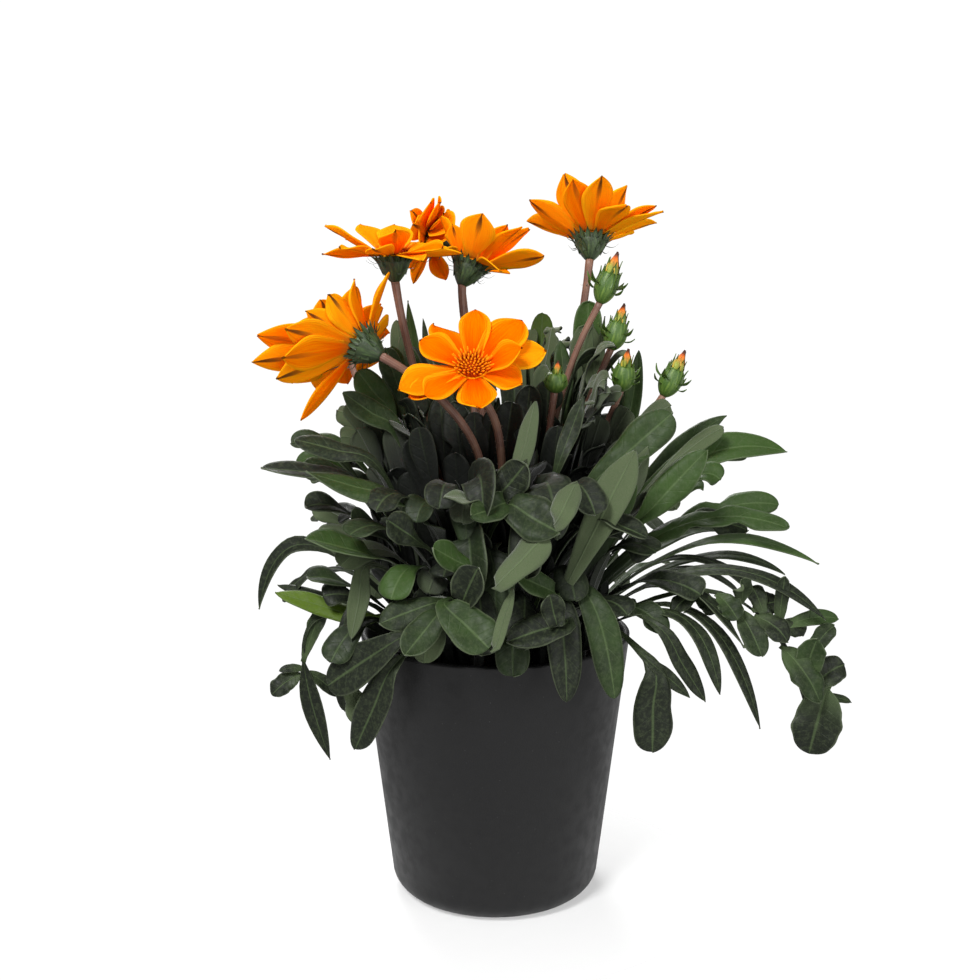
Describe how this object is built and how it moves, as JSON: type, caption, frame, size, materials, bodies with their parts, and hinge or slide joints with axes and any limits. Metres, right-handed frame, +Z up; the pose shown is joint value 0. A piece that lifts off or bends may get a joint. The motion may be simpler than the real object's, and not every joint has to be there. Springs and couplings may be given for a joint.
{
  "type": "gazania in a pot",
  "caption": "Flowering gazania in a plain tapered round pot: orange daisy blooms and rolled buds on bare stems over a mound of dark spatulate leaves.",
  "frame": {"origin": "centre of the pot's flat base", "axes": "+Z up through the pot's axis, -Y to the side the plant is seen from, +X to the right of that view"},
  "size_m": [0.2454, 0.1842, 0.319],
  "materials": {
    "pot": "matte, finely speckled anthracite plastic",
    "soil": "damp dark potting mix, crumbly",
    "leaf": "satin dark grey-green leaf, felted pale underside",
    "petal": "satin vivid orange petal with fine lengthwise lines and a dark stripe below",
    "floret": "matte yellow-orange florets",
    "involucre": "satin dark green cup and bracts",
    "stem": "satin reddish-brown stem with fine hairs",
    "bud": "satin bright green bud cup and bracts"
  },
  "bodies": {
    "root": {"pot": "pot", "soil": "soil", "leafy_shoot_1": "leaf", "leafy_shoot_2": "leaf", "leafy_shoot_3": "leaf", "leafy_shoot_4": "leaf", "leafy_shoot_5": "leaf", "leafy_shoot_6": "leaf", "leafy_shoot_7": "leaf", "leafy_shoot_8": "leaf", "bloom_1_stem": "stem", "bloom_1_involucre": "involucre", "bloom_1_petals": "petal", "bloom_1_disc": "floret", "bloom_2_stem": "stem", "bloom_2_involucre": "involucre", "bloom_2_petals": "petal", "bloom_2_disc": "floret", "bloom_3_stem": "stem", "bloom_3_involucre": "involucre", "bloom_3_petals": "petal", "bloom_3_disc": "floret", "bloom_4_stem": "stem", "bloom_4_involucre": "involucre", "bloom_4_petals": "petal", "bloom_4_disc": "floret", "bloom_5_stem": "stem", "bloom_5_involucre": "involucre", "bloom_5_petals": "petal", "bloom_5_disc": "floret", "bloom_6_stem": "stem", "bloom_6_involucre": "involucre", "bloom_6_petals": "petal", "bloom_6_disc": "floret", "bloom_7_stem": "stem", "bloom_7_involucre": "involucre", "bloom_7_petals": "petal", "bloom_7_disc": "floret", "bud_1_stem": "stem", "bud_1_involucre": "bud", "bud_1_petals": "petal", "bud_2_stem": "stem", "bud_2_involucre": "bud", "bud_2_petals": "petal", "bud_3_stem": "stem", "bud_3_involucre": "bud", "bud_3_petals": "petal", "bud_4_stem": "stem", "bud_4_involucre": "bud", "bud_4_petals": "petal", "bud_5_stem": "stem", "bud_5_involucre": "bud", "bud_5_petals": "petal"}
  },
  "joints": []
}
